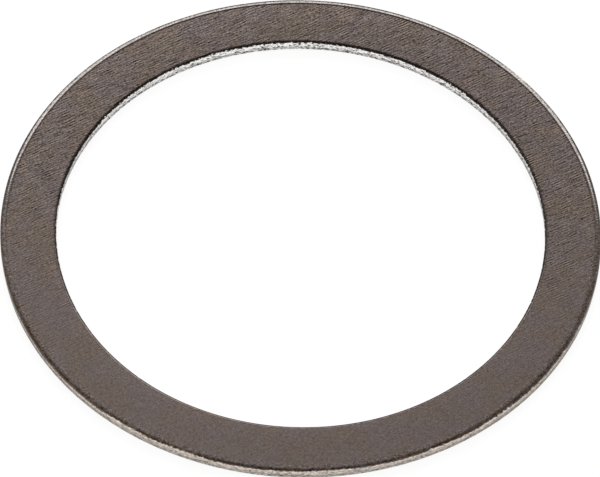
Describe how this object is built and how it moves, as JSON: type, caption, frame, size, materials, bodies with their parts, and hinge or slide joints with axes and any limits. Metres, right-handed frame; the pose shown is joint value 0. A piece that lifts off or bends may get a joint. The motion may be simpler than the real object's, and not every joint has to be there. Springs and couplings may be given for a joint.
{
  "type": "shim ring",
  "caption": "Flat steel shim ring, punched from strip, that fills end play beside a bearing or gear on a shaft.",
  "frame": {"origin": "centre of the bore, in the plane of the underside", "axes": "+Z along the ring's axis, out of the upper face, whose edges are the softly rolled ones; X and Y lie in the underside and the ring is the same all round"},
  "size_m": [0.0518, 0.0518, 0.001],
  "materials": {
    "strip_steel": "cold-rolled strip with a fine straight grain, dark warm grey, much brighter on the sheared edges"
  },
  "bodies": {
    "root": {"shim_ring": "strip_steel"}
  },
  "joints": []
}
